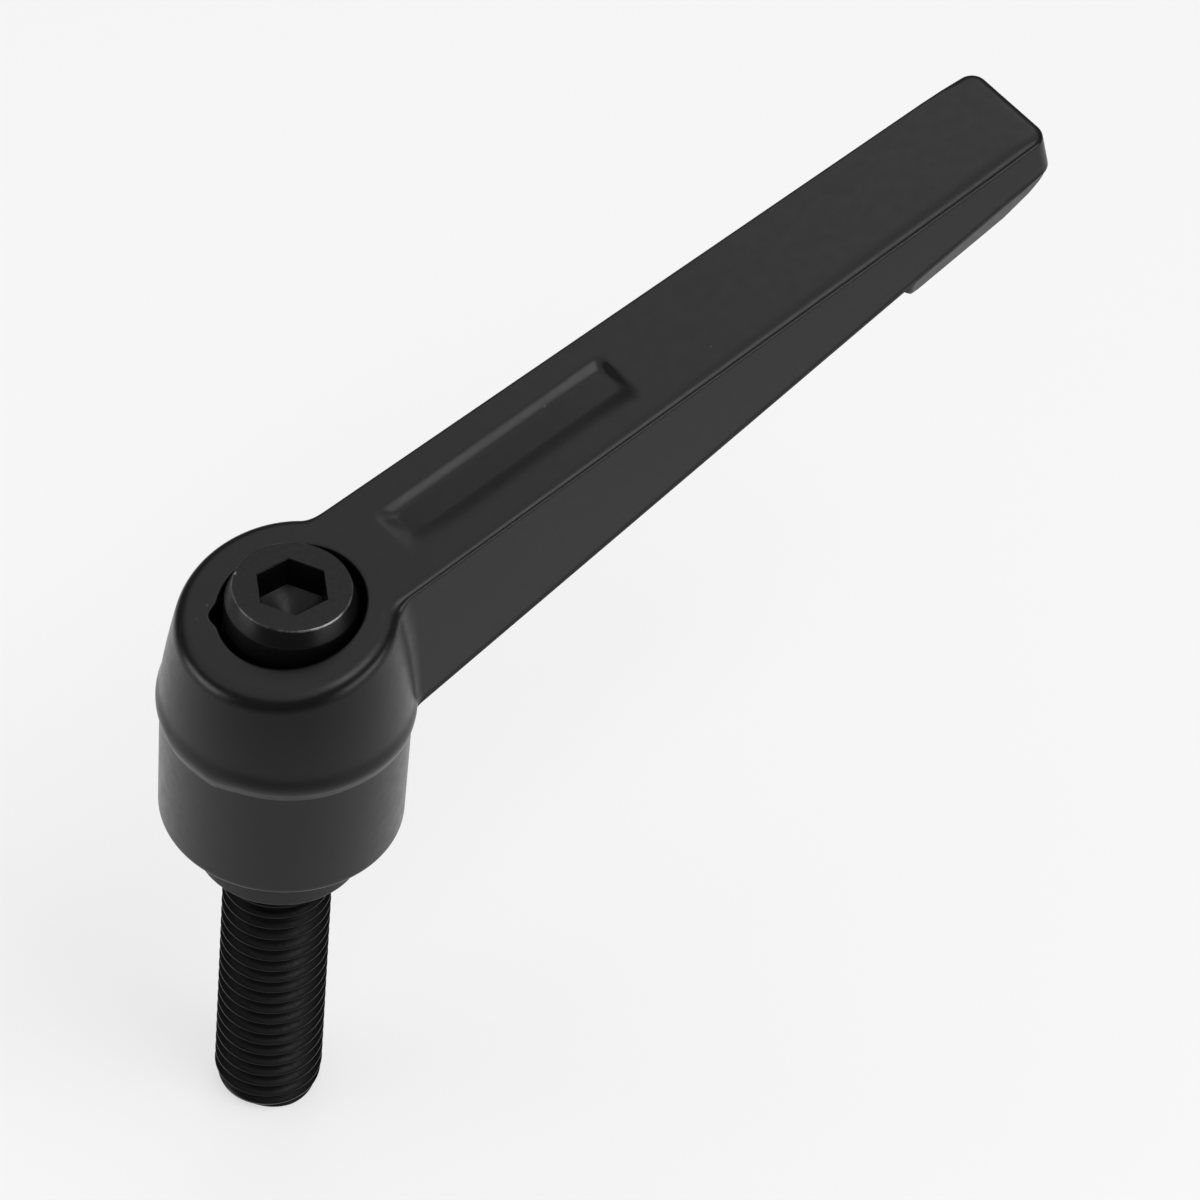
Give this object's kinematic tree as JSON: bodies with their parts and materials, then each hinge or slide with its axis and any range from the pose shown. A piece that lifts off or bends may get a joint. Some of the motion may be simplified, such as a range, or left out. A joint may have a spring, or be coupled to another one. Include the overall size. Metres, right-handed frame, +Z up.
{
  "type": "adjustable clamping lever",
  "caption": "Adjustable clamping lever: a die-cast handle that lifts against a spring and re-indexes on a toothed steel insert with a threaded stud.",
  "frame": {"origin": "on the stud's axis, on the seating face under the steel collar", "axes": "+Z up the stud's axis towards the screw head, +X towards the arm, +Y across the arm"},
  "size_m": [0.094, 0.0234, 0.0814],
  "materials": {
    "black_coat": "satin black powder coat on die-cast zinc",
    "insert_steel": "turned steel, black oxide",
    "screw_steel": "turned steel, black oxide",
    "spring_wire": "drawn spring wire"
  },
  "bodies": {
    "stud": {"threaded_insert": "insert_steel", "retaining_screw": "screw_steel"},
    "spring": {"spring": "spring_wire"},
    "handle": {"lever": "black_coat"}
  },
  "joints": [
    {"name": "swivel", "type": "hinge", "parent": "stud", "child": "spring", "pos_m": [0, 0, 0.015], "axis": [0, 0, 1], "continuous": true},
    {"name": "lift", "type": "slide", "parent": "spring", "child": "handle", "axis": [0, 0, 1], "range_m": [0, 0.005], "stiffness_N_per_m": 1500, "springref_m": -0.004, "deforming": ["spring"]}
  ]
}
